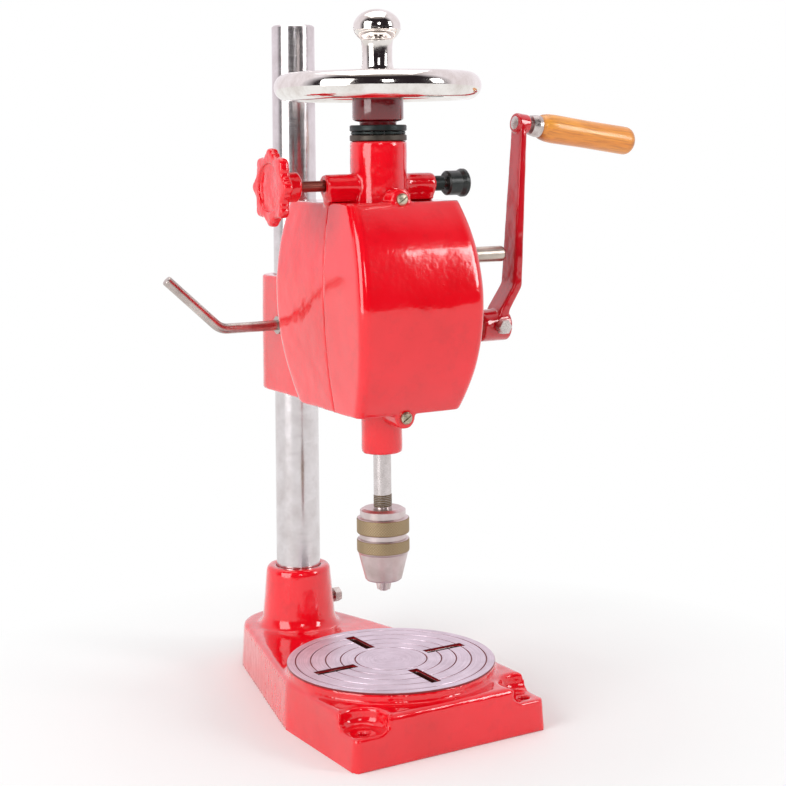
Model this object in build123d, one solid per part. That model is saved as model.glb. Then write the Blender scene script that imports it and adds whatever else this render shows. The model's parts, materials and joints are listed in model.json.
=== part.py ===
from build123d import *
import os
from math import acos, atan2, cos, pi, radians, sin, sqrt, tan

# Hand crank post drill. Millimetres, +Z up, +X towards the crank, -Y towards the user.
# The origin is on the base's underside, under the centre of the round table.
# The head is drawn square to its own spindle axis and then swung on the column as it stands.

# fits
running_gap = 0.05  # radial clearance of a shaft in its bush
seat_gap = 0.02  # a piece seated in another one
joint_gap = 0.2  # faces of two castings that meet

# column and where the spindle stands to it
throat = 145.0  # spindle axis to column axis
column_r = 17.5
column_top = 515.5
column_foot = 12.0
head_swing = 2.1  # degrees, clockwise from above
column_bore_r = column_r + running_gap

# base casting
table_r = 76.2
table_top = 41.5
table_rim = 5.5
base_top = 33.5
base_draft = 3.0  # degrees
base_half_width = 78.5
base_front = 85.0
base_corner_r = 6.0
base_shoulder_r = 25.0
base_shoulder_y = 15.0
base_tail_r = 43.0
base_tail_y = throat + 7.0
base_wall = 8.0
base_roof = 26.0  # height of the hollow underneath
base_edge_r = 3.0
pillar_r = 11.0  # under the middle of the table
socket_top = 80.0
socket_r_top = 25.5
socket_r_foot = 29.0
socket_flare = 3.0
groove_radii = [26.3 + 10.9 * ring for ring in range(5)]
groove_width = 1.0
groove_depth = 0.8
slot_centre_r = 46.0
slot_length = 33.0
slot_width = 8.0
lug_x = 66.0
lug_y = 73.0
lug_top = 22.0
lug_scoop_r = 17.0
lug_scoop_round = 5.0
lug_wall = 4.0
lug_hole_r = 4.0

# column lock bolt
lock_bolt_z = 50.0
lock_bolt_r = 3.0
lock_bolt_flats = 10.0
lock_bolt_head = 6.0

# gear case, measured on the head's own axes
case_x = 4.5  # the case stands to the crank's side of the spindle
case_top = 376.0
case_bottom = 224.0
case_wall = 5.0
case_front = (34.0, 60.0, 36.0)  # in front of the spindle at the top, middle and bottom
case_rear = (74.0, 90.0, 67.0)
case_side = (46.0, 51.0, 43.0)  # half widths
case_front_round = 7.0
case_rear_round = 12.0

# spindle bearings and their bosses
spindle_r = 6.5
boss_top = 420.3
boss_r = 21.0
bush_wall = 3.5
lower_boss_r = 15.0
lower_boss_foot = 192.0
bush_r = spindle_r + bush_wall
bush_flange = 3.0
lower_bush_top = case_bottom + case_wall + bush_flange

# screws of the front cover, and the ears that they stand in
screw_r = 2.5
screw_head_r = 4.4
screw_top_z = 378.0
screw_foot_z = 222.0
ear_r = 8.0
ear_front = (34.5, 36.5)  # in front of the spindle, at the top and bottom screws

# column sleeve and its clamp
sleeve_r = 27.0
sleeve_top = 314.0
sleeve_foot = 222.0
sleeve_slot = 2.5
sleeve_slot_front = 50.0  # from the column axis to the slot's closed end
clamp_y = throat - 25.0
clamp_z = 275.8
clamp_screw_r = 3.0
lever_r = 4.0
lever_reach = 48.0
lever_run = 60.0
lever_rise = 42.0
lever_bend_r = 16.0
washer_r = 7.0
washer_thick = 1.6

# cross tube with the spindle lock and the plunger
tube_z = 388.0
tube_r = 8.5
tube_half = 46.0
lock_screw_r = 4.0
lock_gap = 0.6  # brake shoe to spindle, backed off
shoe_length = 6.0
shoe_end = -spindle_r - lock_gap - shoe_length
wheel_plane = -86.0
handwheel_r = 27.9
handwheel_thick = 7.5
handwheel_hub_r = 11.0
handwheel_hub_end = -67.0
handwheel_lobes = 8
lobe_r = 5.2
lobe_gap_r = 5.0
plunger_r = 3.0
plunger_collar_r = 5.0
plunger_chamber_r = 5.4
plunger_chamber = (18.0, 38.0)
plunger_bush_end = 53.5
plunger_bush_r = 5.7
plunger_knob_start = 56.6
plunger_knob_end = 74.0
spring_wire_r = 0.45
spring_turns = 6
latch_lift = 35.0  # how far the spindle is raised when the plunger drops in its groove

# gears: spur pair from the crank, bevel pair to the spindle
crank_teeth = 48
speed_teeth = 24
spur_module = 1.5
spur_backlash = 0.25
bevel_teeth = 30
pinion_teeth = 15
bevel_module = 2.0
bevel_backlash = 0.5
bevel_face = 0.3  # share of the cone that is toothed
pressure_angle = radians(20)
crank_z = 278.8
speed_z = crank_z + spur_module * (crank_teeth + speed_teeth) / 2
shaft_r = 6.0
shaft_bush_r = 9.0
shaft_boss_r = 13.0
shaft_boss_end = 68.0
shaft_bush_start = 38.0
speed_shaft_end = 107.5
gear_start = 25.0
speed_pinion_width = 12.0
crank_gear_width = 10.0
pin_r = 1.5
pinion_sleeve_r = 11.0
pinion_back_r = 13.2
window_r = 6.5  # lightening holes of the crank gear
window_circle_r = 22.0
window_count = 6
key_width = 4.0
key_length = 16.0
key_foot = 262.0
key_depth = 2.2

# crank
hub_start = 84.0
hub_end = 108.0
hub_r = 12.1
arm_top = (124.5, 432.6)
arm_width_foot = 21.0
arm_width_top = 15.5
grip_droop = 8.2
grip_start = 17.5
grip_length = 90.0
grip_r = 11.3
ferrule_length = 5.0
handle_pin_r = 4.0
handle_pin_depth = 80.0
set_screw_r = 3.0
set_screw_x = 97.0
set_screw_flats = 10.0
set_screw_head = 6.0

# thrust bearing
race_r = 21.1
race_bore_r = 12.5
race_thick = 4.6
race_gap = 2.6
ball_r = 3.17
ball_pitch_r = 16.8
ball_count = 12
cage_half_width = 3.4
lower_race_top = boss_top + race_thick
upper_race_foot = lower_race_top + race_gap
ball_z = (lower_race_top + upper_race_foot) / 2

# flywheel and its ball knob
wheel_hub_foot = upper_race_foot + race_thick
wheel_foot_z = 453.5
spindle_top = 470.0
keyway_foot = key_foot - latch_lift - 1
grub_r = 3.0
wheel_r = 76.9
rim_r = 10.6
rim_z = 460.5
wheel_hub_r = 19.0
wheel_hub_neck_r = 13.5
wheel_boss_top = 468.0
stud_r = 4.0
knob_ball_r = 17.7
knob_ball_half = 13.3
knob_ball_z = 505.0
knob_neck_r = 11.5
knob_foot_r = 14.5

# chuck
chuck_top = 152.0
chuck_shoulder_r = 16.7
knurl_r = 19.0
upper_knurl = (134.0, 145.2)
sleeve_groove_r = 17.2
sleeve_knurl = (120.9, 130.1)
nose_z = 100.0
nose_r = 13.4
nose_thread_r = 5.0
core_r = 11.0
jaw_r = 3.0
jaw_tip_z = 92.6
jaw_tip_r = 1.8
jaw_angle = 15.0
jaw_length = 28.0
ring_foot = 108.0
ring_top = 116.0
sleeve_bore_r = 15.8


# ---------------------------------------------------------------- shapes
def post(r, z0, z1, x=0.0, y=0.0):
    return Pos(x, y, (z0 + z1) / 2) * Cylinder(r, z1 - z0)


def rod(r, x0, x1, y=0.0, z=0.0):
    return Pos((x0 + x1) / 2, y, z) * Rot(0, 90, 0) * Cylinder(r, x1 - x0)


def peg(r, y0, y1, x=0.0, z=0.0):
    return Pos(x, (y0 + y1) / 2, z) * Rot(90, 0, 0) * Cylinder(r, y1 - y0)


def block(x0, x1, y0, y1, z0, z1):
    return Pos((x0 + x1) / 2, (y0 + y1) / 2, (z0 + z1) / 2) * Box(x1 - x0, y1 - y0, z1 - z0)


def turned(*points):
    """A solid of revolution about Z from (radius, height) points."""
    return revolve(Plane.XZ * make_face(Polyline(*points, close=True)), Axis.Z)


def turned_x(*points):
    """The same about X, from (radius, place along X) points."""
    return Rot(0, 90, 0) * turned(*points)


def one(shape):
    """The single solid of a finished piece."""
    return shape.solids().sort_by(SortBy.VOLUME)[-1]


def on_head(shape):
    return Pos(0, throat, 0) * Rot(0, 0, -head_swing) * Pos(0, -throat, 0) * shape


def save(name, *solids):
    shape = solids[0] if len(solids) == 1 else Compound(list(solids))
    export_step(shape, f"parts/{name}.step")
    print(name)


def save_head(name, *solids):
    save(name, *[on_head(one(solid)) for solid in solids])


# ---------------------------------------------------------------- base and column
def base_plan(inset=0.0):
    """The outline of the base: square front corners, drawn in at the back to the column."""
    corner = max(base_corner_r - inset, 1.0)
    corner_x = base_half_width - inset - corner
    shoulder_x = base_half_width - base_shoulder_r
    circles = [(0, base_tail_y, base_tail_r - inset)]
    for side in (-1, 1):
        circles.append((side * corner_x, inset + corner - base_front, corner))
        circles.append((side * shoulder_x, base_shoulder_y, base_shoulder_r - inset))
    return make_hull([Pos(x, y) * Edge.make_circle(r) for x, y, r in circles])


def base_casting():
    lean = base_top * tan(radians(base_draft))
    body = loft([base_plan(), Pos(0, 0, base_top) * base_plan(lean)], ruled=True)
    body = fillet(body.faces().sort_by(Axis.Z)[-1].edges(), base_edge_r)
    body += turned(
        (0, base_top - 2),
        (table_r - 3, base_top - 2),
        (table_r, table_top - table_rim),
        (table_r, table_top - 0.6),
        (table_r - 0.6, table_top),
        (0, table_top),
    )
    socket = Pos(0, throat, 0) * turned(
        (0, base_top - 3),
        (socket_r_foot + socket_flare, base_top - 3),
        (socket_r_foot + socket_flare, base_top),
        (socket_r_foot, base_top + 2 * socket_flare),
        (socket_r_top, socket_top - 2),
        (socket_r_top - 2, socket_top),
        (0, socket_top),
    )
    body += socket
    for side in (-1, 1):
        scoop = post(lug_scoop_r, lug_top, table_top, side * lug_x, -lug_y)
        scoop = fillet(scoop.edges().group_by(Axis.Z)[0], lug_scoop_round)
        body -= scoop
    cavity = extrude(base_plan(base_wall), base_roof, dir=(0, 0, 1))
    cavity -= post(pillar_r, 0, base_roof)
    cavity -= post(base_tail_r - base_wall + 1, 0, base_roof, 0, base_tail_y)
    for side in (-1, 1):
        cavity -= post(lug_scoop_r + lug_wall, 0, base_roof, side * lug_x, -lug_y)
    body -= one(cavity)
    for radius in groove_radii:
        floor = table_top - groove_depth
        body -= turned(
            (radius - groove_width / 2, table_top + 1),
            (radius - groove_width / 4, floor),
            (radius + groove_width / 4, floor),
            (radius + groove_width / 2, table_top + 1),
        )
    inner, outer = slot_centre_r - slot_length / 2, slot_centre_r + slot_length / 2
    slot = block(inner, outer, -slot_width / 2, slot_width / 2, 0, table_top + 1)
    for turn in range(4):
        body -= Rot(0, 0, 90 * turn) * slot
    for side in (-1, 1):
        body -= post(lug_hole_r, -1, lug_top + 1, side * lug_x, -lug_y)
    body -= post(column_bore_r, column_foot, socket_top + 1, 0, throat)
    body -= rod(lock_bolt_r + seat_gap, 0, socket_r_foot + 5, throat, lock_bolt_z)
    return one(body)


def column():
    bar = post(column_r, column_foot, column_top, 0, throat)
    bar = chamfer(bar.edges().group_by(Axis.Z)[-1], 1.5)
    centre = turned((0, -7), (2.0, -6), (2.0, -3), (4.5, 0.5), (0, 0.5))
    return one(bar - Pos(0, throat, column_top) * centre)


def column_lock_bolt():
    neck = socket_r_foot - 0.5
    bolt = rod(lock_bolt_r, column_r + seat_gap, neck + 4, throat, lock_bolt_z)
    head = extrude(RegularPolygon(lock_bolt_flats / 2, 6, major_radius=False), lock_bolt_head)
    head = chamfer(head.edges().group_by(Axis.Z)[-1], 0.6)
    return one(bolt + Pos(neck + 3, throat, lock_bolt_z) * Rot(0, 90, 0) * head)


# ---------------------------------------------------------------- gear case
def case_block(inset=0.0):
    low, high = case_bottom + inset, case_top - inset
    middle = (low + high) / 2
    front = [inset - reach for reach in case_front]
    rear = [reach - inset for reach in case_rear]
    side = [reach - inset for reach in case_side]
    profile = make_face(
        [
            ThreePointArc((front[2], low), (front[1], middle), (front[0], high)),
            Line((front[0], high), (rear[0], high)),
            ThreePointArc((rear[0], high), (rear[1], middle), (rear[2], low)),
            Line((rear[2], low), (front[2], low)),
        ]
    )
    face_on = make_face(
        [
            ThreePointArc((side[2], low), (side[1], middle), (side[0], high)),
            Line((side[0], high), (-side[0], high)),
            ThreePointArc((-side[0], high), (-side[1], middle), (-side[2], low)),
            Line((-side[2], low), (side[2], low)),
        ]
    )
    reach = case_side[1] + 5
    across = extrude(Plane.YZ * profile, reach, both=True)
    through = extrude(Plane.XZ * face_on, case_rear[1] + case_front[1], both=True)
    return Pos(case_x, 0, 0) * (across & through)


def upright_edges(shape):
    return [edge for edge in shape.edges() if edge.bounding_box().size.Z > 0.8 * (case_top - case_bottom)]


def rounded_case():
    middle = (min(case_rear) - min(case_front)) / 2
    shell = case_block()
    shell = fillet([edge for edge in upright_edges(shell) if edge.center().Y < -middle], case_front_round)
    return fillet([edge for edge in upright_edges(shell) if edge.center().Y > middle], case_rear_round)


def sleeve_block():
    web = block(-sleeve_r, sleeve_r, min(case_rear) - 1, throat, sleeve_foot, sleeve_top)
    return web + post(sleeve_r, sleeve_foot, sleeve_top, 0, throat)


def gear_housing(case, cavity):
    reach = 200
    body = case & block(-reach, reach, 0, reach, 0, 2 * reach)
    body += sleeve_block()
    body += post(boss_r, case_top - case_wall, boss_top)
    body += post(lower_boss_r, lower_boss_foot, case_bottom + case_wall)
    tube = rod(tube_r, -tube_half, tube_half, 0, tube_z)
    tube = fillet(tube.edges().filter_by(GeomType.CIRCLE), 1.5)
    body += tube
    web_half = tube_half - 2
    body += block(-web_half, web_half, -6, 6, case_top + joint_gap, tube_z)
    body += block(-web_half, web_half, 0, 6, case_top - 2, tube_z)
    body -= cavity
    for z in (crank_z, speed_z):
        body += rod(shaft_boss_r, shaft_bush_start, shaft_boss_end, 0, z)
    # bores
    body -= post(bush_r + seat_gap, case_top - 10, boss_top + 1)
    body -= post(bush_r + seat_gap, lower_boss_foot - 1, lower_bush_top)
    for z in (crank_z, speed_z):
        body -= rod(shaft_bush_r + seat_gap, shaft_bush_start - 1, shaft_boss_end + 1, 0, z)
    body -= rod(lock_screw_r + running_gap, -tube_half - 1, 0, 0, tube_z)
    body -= rod(plunger_r + running_gap, 0, tube_half, 0, tube_z)
    body -= rod(plunger_chamber_r, plunger_chamber[0], tube_half + 1, 0, tube_z)
    body -= post(column_bore_r, sleeve_foot - 1, sleeve_top + 1, 0, throat)
    slot_front = throat - sleeve_slot_front
    body -= block(-sleeve_slot / 2, sleeve_slot / 2, slot_front, throat, sleeve_foot - 1, sleeve_top + 1)
    body -= rod(clamp_screw_r + 0.3, -sleeve_r - 1, 0, clamp_y, clamp_z)
    body -= rod(clamp_screw_r + running_gap, 0, sleeve_r + 1, clamp_y, clamp_z)
    for z, wall in ((screw_top_z, boss_r), (screw_foot_z, lower_boss_r)):
        body -= peg(screw_r + seat_gap, -wall - 1, -bush_r - 0.8, 0, z)
    return one(body)


def front_cover(case, cavity):
    reach = 200
    body = case & block(-reach, reach, -reach, -joint_gap, 0, 2 * reach)
    body -= cavity
    ears = ((screw_top_z, ear_front[0], boss_r), (screw_foot_z, ear_front[1], lower_boss_r))
    for z, front, wall in ears:
        ear = peg(ear_r, -front, -wall + 8, 0, z)
        body += ear - cavity
    body -= post(boss_r + joint_gap, case_bottom + 50, boss_top)
    body -= post(lower_boss_r + joint_gap, lower_boss_foot, case_bottom + 50)
    for z in (crank_z, speed_z):
        body -= rod(shaft_boss_r + joint_gap, 0, shaft_boss_end, 0, z)
    for z, front, wall in ears:
        body -= peg(screw_r + joint_gap, -front - 1, -wall + 8, 0, z)
        body -= peg(screw_head_r + 1, -2 * front, -front, 0, z)
    return one(body)


def cover_screw(z, front, wall):
    shank = peg(screw_r, -front, -bush_r - 1, 0, z)
    head = turned((0, 0), (screw_head_r, 0), (screw_head_r, 1.6), (screw_head_r - 1.2, 2.6), (0, 3.0))
    head -= Rot(0, 0, 35) * block(-screw_head_r, screw_head_r, -0.6, 0.6, 1.6, 4)
    return one(shank + Pos(0, -front, z) * Rot(90, 0, 0) * head)


# ---------------------------------------------------------------- bushes
def upper_spindle_bush():
    body = post(bush_r, case_top - 4, boss_top)
    body += post(race_bore_r - running_gap, boss_top, boss_top + race_thick - 0.8)
    body -= post(spindle_r + running_gap, case_top - 5, boss_top + race_thick)
    body -= rod(lock_screw_r + running_gap, -boss_r, 0, 0, tube_z)
    body -= rod(plunger_r + running_gap, 0, boss_r, 0, tube_z)
    return one(body)


def lower_spindle_bush():
    body = post(bush_r, lower_boss_foot + 1, lower_bush_top)
    body += post(bush_r + 3, lower_bush_top - bush_flange, lower_bush_top)
    return one(body - post(spindle_r + running_gap, lower_boss_foot, lower_bush_top + 1))


def shaft_bush(z):
    body = rod(shaft_bush_r, shaft_bush_start, shaft_boss_end, 0, z)
    return one(body - rod(shaft_r + running_gap, shaft_bush_start - 1, shaft_boss_end + 1, 0, z))


# ---------------------------------------------------------------- clamp
def clamp_washer():
    body = rod(washer_r, -sleeve_r - washer_thick, -sleeve_r, clamp_y, clamp_z)
    return one(body - rod(clamp_screw_r + 0.2, -sleeve_r - 5, 0, clamp_y, clamp_z))


def clamp_lever():
    shoulder = -sleeve_r - washer_thick - running_gap
    rise = radians(lever_rise)
    corner_x = shoulder - lever_reach
    tip_x = corner_x - lever_run * cos(rise)
    tip_z = clamp_z + lever_run * sin(rise)
    path = FilletPolyline(
        (shoulder, clamp_y, clamp_z),
        (corner_x, clamp_y, clamp_z),
        (tip_x, clamp_y, tip_z),
        radius=lever_bend_r,
    )
    section = Plane(origin=path @ 0, z_dir=path % 0) * Circle(lever_r)
    body = sweep(section, path)
    body = fillet(body.edges().sort_by(Axis.X)[0], 1.2)
    return one(body + rod(clamp_screw_r, shoulder - 1, sleeve_r - 3, clamp_y, clamp_z))


# ---------------------------------------------------------------- gears
def tooth_half_angle(r, pitch_r, thickness):
    """Half the angle that an involute tooth covers at radius r."""
    base_r = pitch_r * cos(pressure_angle)
    turn = 0.0 if r <= base_r else acos(base_r / r)
    return thickness / 2 / pitch_r + (tan(pressure_angle) - pressure_angle) - (tan(turn) - turn)


def spur_gear(teeth, width, first_tooth):
    """A spur gear on the X axis, its first tooth at this angle from +Y, in degrees."""
    pitch_r = spur_module * teeth / 2
    root_r = pitch_r - 1.25 * spur_module
    tip_r = pitch_r + spur_module
    thickness = pi * spur_module / 2 - spur_backlash
    radii = [root_r + (tip_r - root_r) * step / 4 for step in range(5)]
    points = []
    for tooth in range(teeth):
        centre = radians(first_tooth) + 2 * pi * tooth / teeth
        flank = [(r, tooth_half_angle(r, pitch_r, thickness)) for r in radii]
        points += [(r * cos(centre - a), r * sin(centre - a)) for r, a in flank]
        points += [(r * cos(centre + a), r * sin(centre + a)) for r, a in reversed(flank)]
    return extrude(Plane.YZ * make_face(Polyline(*points, close=True)), width)


def bevel(teeth, mate, root_back, bore_r, back):
    """A straight bevel gear about +Z with its apex at the origin and its teeth towards +Z.

    Heights run down from the apex, so the blank lies below it.
    """
    pitch_r = bevel_module * teeth / 2
    depth = bevel_module * mate / 2
    cone = atan2(pitch_r, depth)
    virtual_r = pitch_r / cos(cone)
    small = 1 - bevel_face
    addendum, dedendum = 0.8 * bevel_module, 1.05 * bevel_module
    thickness = pi * bevel_module / 2 - bevel_backlash
    root = (pitch_r - dedendum * cos(cone), -depth - dedendum * sin(cone))
    blank = turned(
        (0, -back),
        (root_back, -back),
        root,
        (root[0] * small, root[1] * small),
        (0, root[1] * small),
    )
    heights = [-dedendum - 0.4, -dedendum / 2, 0, addendum / 2, addendum]
    flank = [
        (virtual_r + h, (virtual_r + h) * sin(tooth_half_angle(virtual_r + h, virtual_r, thickness)))
        for h in heights
    ]
    outline = [(w, r - virtual_r) for r, w in flank] + [(-w, r - virtual_r) for r, w in reversed(flank)]
    ends = []
    for scale in (1.0, small):
        place = Plane(
            origin=(pitch_r * scale, 0, -depth * scale),
            x_dir=(0, 1, 0),
            z_dir=(-sin(cone), 0, cos(cone)),
        )
        corners = [(x * scale, -y * scale) for x, y in outline]
        ends.append(place * make_face(Polyline(*corners, close=True)))
    tooth = loft(ends, ruled=True)
    step = 360 / teeth
    body = blank + [Rot(0, 0, step * number) * tooth for number in range(teeth)]
    return body - post(bore_r, -2 * depth, 0)


def bevel_pinion():
    back = speed_z - (key_foot + key_length + 16)
    wheel = bevel(pinion_teeth, bevel_teeth, pinion_back_r, spindle_r + running_gap, back)
    body = Pos(0, 0, speed_z) * wheel
    sleeve = post(pinion_sleeve_r, lower_bush_top + 0.3, speed_z - back + 1)
    body += sleeve - post(spindle_r + running_gap, 0, speed_z)
    body -= block(0, spindle_r + key_depth, -key_width / 2, key_width / 2, key_foot, key_foot + key_length)
    return one(body)


def spindle_key():
    gap = seat_gap
    return block(
        spindle_r - key_depth,
        spindle_r + key_depth - gap,
        -key_width / 2 + gap,
        key_width / 2 - gap,
        key_foot + gap,
        key_foot + key_length - gap,
    )


def bevel_gear():
    back = gear_start - 1
    wheel = bevel(bevel_teeth, pinion_teeth, bevel_module * bevel_teeth / 2 - 2, shaft_r + seat_gap, 21.0)
    wheel += post(shaft_r + 6, -back, -15) - post(shaft_r + seat_gap, -back, 0)
    # its gap, not a tooth, faces down to the pinion
    half_tooth = 180 / bevel_teeth
    wheel = Pos(0, 0, speed_z) * Rot(0, -90, 0) * Rot(0, 0, half_tooth) * wheel
    return one(wheel - pin_hole(speed_z, back - 3))


def pin_hole(z, x):
    return post(pin_r + seat_gap, z - 40, z + 40, x, 0)


def gear_pin(z, x, half):
    return post(pin_r, z - half, z + half, x, 0)


def speed_pinion():
    body = Pos(gear_start, 0, speed_z) * spur_gear(speed_teeth, speed_pinion_width, 180 / speed_teeth)
    body -= rod(shaft_r + seat_gap, 0, 60, 0, speed_z)
    return one(body - pin_hole(speed_z, gear_start + speed_pinion_width / 2))


def crank_gear():
    body = Pos(gear_start + 1, 0, crank_z) * spur_gear(crank_teeth, crank_gear_width, 90)
    for number in range(window_count):
        turn = 2 * pi * number / window_count
        body -= rod(window_r, 0, 60, window_circle_r * cos(turn), crank_z + window_circle_r * sin(turn))
    body -= rod(shaft_r + seat_gap, 0, 60, 0, crank_z)
    return one(body - post(pin_r + seat_gap, crank_z - 13, crank_z + 13, gear_start + 6, 0))


def crank_shaft():
    body = rod(shaft_r, gear_start - 4, hub_end - 0.5, 0, crank_z)
    body = chamfer(body.edges().filter_by(GeomType.CIRCLE), 0.8)
    return one(body - pin_hole(crank_z, gear_start + 6))


def speed_shaft():
    body = rod(shaft_r, 9.5, speed_shaft_end, 0, speed_z)
    body = fillet(body.edges().sort_by(Axis.X)[-1], 2.5)
    body -= pin_hole(speed_z, gear_start - 4) + pin_hole(speed_z, gear_start + speed_pinion_width / 2)
    return one(body)


def shaft_collar(z):
    body = rod(shaft_r + 3.5, shaft_boss_end + 0.3, shaft_boss_end + 7, 0, z)
    return one(body - rod(shaft_r + seat_gap, 0, 200, 0, z))


# ---------------------------------------------------------------- crank
def crank_arm():
    top_x, top_z = arm_top
    side = [
        (95.5, crank_z + 5),
        (99.5, crank_z + 13.5),
        (111.5, crank_z + 31),
        (top_x - 2.6, top_z),
        (top_x + 2.6, top_z),
        (118.6, crank_z + 29),
        (107.2, crank_z + 11.5),
        (105.5, crank_z + 5),
    ]
    face = make_face(Polyline(*side, close=True))
    bends = face.vertices().filter_by_position(Axis.Y, crank_z + 10, crank_z + 40)
    face = fillet(bends, 9)
    bar = extrude(Plane.XZ * face, arm_width_foot, both=True)
    foot, head = arm_width_foot / 2, arm_width_top / 2
    width = make_face(
        Polyline((-foot, crank_z), (-head, top_z), (head, top_z), (foot, crank_z), close=True)
    )
    bar = bar & extrude(Plane.YZ * width, 200)
    bar = fillet(bar.edges().filter_by(lambda e: e.length > 60), 1.4)
    hub = rod(hub_r, hub_start, hub_end, 0, crank_z)
    body = bar + fillet(hub.edges().filter_by(GeomType.CIRCLE), 1.2)
    boss = fillet(rod(arm_width_top / 2, -4.5, 7).edges(), 1.4)
    body += handle_place(boss)
    body -= handle_place(rod(handle_pin_r + seat_gap, -20, 20))
    body -= rod(shaft_r + seat_gap, 0, hub_end + 1, 0, crank_z)
    body -= peg(set_screw_r + seat_gap, -hub_r - 1, 0, set_screw_x, crank_z)
    return one(body)


def handle_place(shape):
    return Pos(arm_top[0], 0, arm_top[1]) * Rot(0, grip_droop, 0) * shape


def crank_set_screw():
    neck = -hub_r - 1.5
    head = extrude(RegularPolygon(set_screw_flats / 2, 6, major_radius=False), set_screw_head)
    head = chamfer(head.edges().group_by(Axis.Z)[-1], 0.6)
    body = peg(set_screw_r, neck - 1, -shaft_r - seat_gap, set_screw_x, crank_z)
    return one(body + Pos(set_screw_x, neck, crank_z) * Rot(90, 0, 0) * head)


def handle_pin():
    start = -4.5
    body = rod(handle_pin_r, start, grip_start + handle_pin_depth)
    rivet = turned_x((0, start - 1.8), (2.4, start - 1.4), (handle_pin_r + 1.2, start), (0, start))
    return one(handle_place(body + rivet))


def handle_ferrule():
    bore = handle_pin_r + running_gap
    ring = turned_x(
        (bore, grip_start - 8),
        (7.6, grip_start - 8),
        (8.6, grip_start - 8 + ferrule_length),
        (8.6, grip_start),
        (bore, grip_start),
    )
    return one(handle_place(ring))


def handle_grip():
    end = grip_start + grip_length
    outline = [
        Line((0, grip_start), (8.4, grip_start)),
        Spline(
            (8.4, grip_start),
            (grip_r, grip_start + 10),
            (grip_r - 0.4, grip_start + grip_length / 2),
            (grip_r, end - 12),
            (8.6, end - 3),
            (0, end),
            tangents=((0.5, 1), (-1, 0)),
        ),
        Line((0, end), (0, grip_start)),
    ]
    body = Rot(0, 90, 0) * revolve(Plane.XZ * make_face(outline), Axis.Z)
    body -= rod(handle_pin_r + running_gap, 0, grip_start + handle_pin_depth + 1)
    return one(handle_place(body))


# ---------------------------------------------------------------- spindle, flywheel, knob
def spindle():
    body = post(spindle_r, chuck_top, spindle_top)
    body += post(nose_thread_r, 125, chuck_top)
    body += post(stud_r, spindle_top - 1, spindle_top + 1)
    body -= block(
        spindle_r - key_depth - running_gap,
        spindle_r + 1,
        -key_width / 2,
        key_width / 2,
        keyway_foot,
        key_foot + key_length + 0.5,
    )
    latch_z = tube_z - latch_lift
    groove = turned(
        (spindle_r - 2.6, latch_z - 3.3),
        (spindle_r - 2.6, latch_z + 3.3),
        (spindle_r + 1, latch_z + 4.5),
        (spindle_r + 1, latch_z - 4.5),
    )
    return one(body - groove)


def race_groove(z):
    return Pos(0, 0, z) * revolve(Plane.XZ * Pos(ball_pitch_r, 0) * Circle(ball_r + running_gap), Axis.Z)


def race(z0):
    body = post(race_r, z0, z0 + race_thick)
    body = chamfer(body.edges(), 0.5)
    return one(body - post(race_bore_r, z0 - 1, z0 + race_thick + 1) - race_groove(ball_z))


def thrust_balls():
    step = 360 / ball_count
    return [Rot(0, 0, step * k) * Pos(ball_pitch_r, 0, ball_z) * Sphere(ball_r) for k in range(ball_count)]


def thrust_cage():
    body = post(ball_pitch_r + cage_half_width, ball_z - 0.6, ball_z + 0.6)
    body -= post(ball_pitch_r - cage_half_width, ball_z - 1, ball_z + 1)
    step = 360 / ball_count
    for k in range(ball_count):
        body -= Rot(0, 0, step * k) * post(ball_r + running_gap, ball_z - 1, ball_z + 1, ball_pitch_r, 0)
    return body


def wheel_hub():
    body = turned(
        (0, wheel_hub_foot),
        (wheel_hub_neck_r, wheel_hub_foot),
        (wheel_hub_neck_r + 0.5, wheel_hub_foot + 2.8),
        (wheel_hub_r - 1, wheel_hub_foot + 3.2),
        (wheel_hub_r, wheel_hub_foot + 4.5),
        (wheel_hub_r, wheel_foot_z - seat_gap),
        (0, wheel_foot_z - seat_gap),
    )
    body += post(race_bore_r - running_gap, upper_race_foot + 0.8, wheel_hub_foot + 1)
    body -= post(spindle_r + seat_gap, 0, 2 * boss_top)
    grub_z = wheel_hub_foot + 10
    return one(body - peg(grub_r + seat_gap, -wheel_hub_r - 1, 0, 0, grub_z))


def wheel_grub_screw():
    body = peg(grub_r, -wheel_hub_r + 1, -spindle_r - seat_gap, 0, wheel_hub_foot + 10)
    return one(body - block(-0.6, 0.6, -wheel_hub_r, -wheel_hub_r + 2.6, 0, 2 * boss_top))


def flywheel():
    centre = wheel_r - rim_r
    rim = revolve(Plane.XZ * Pos(centre, rim_z) * Ellipse(rim_r, rim_r - 0.2), Axis.Z)
    web = turned(
        (0, wheel_foot_z),
        (wheel_hub_r + 3, wheel_foot_z),
        (wheel_hub_r + 8, wheel_foot_z + 2),
        (centre - 2, rim_z - 4.5),
        (centre - 2, rim_z + 4.5),
        (wheel_hub_r + 10, wheel_boss_top - 8),
        (wheel_hub_r, wheel_boss_top),
        (0, wheel_boss_top),
    )
    return one(rim + web - post(spindle_r + seat_gap, 0, 2 * boss_top))


def knob_stud():
    body = post(stud_r, spindle_top + 1 + seat_gap, knob_ball_z + 5)
    return one(body)


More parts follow.
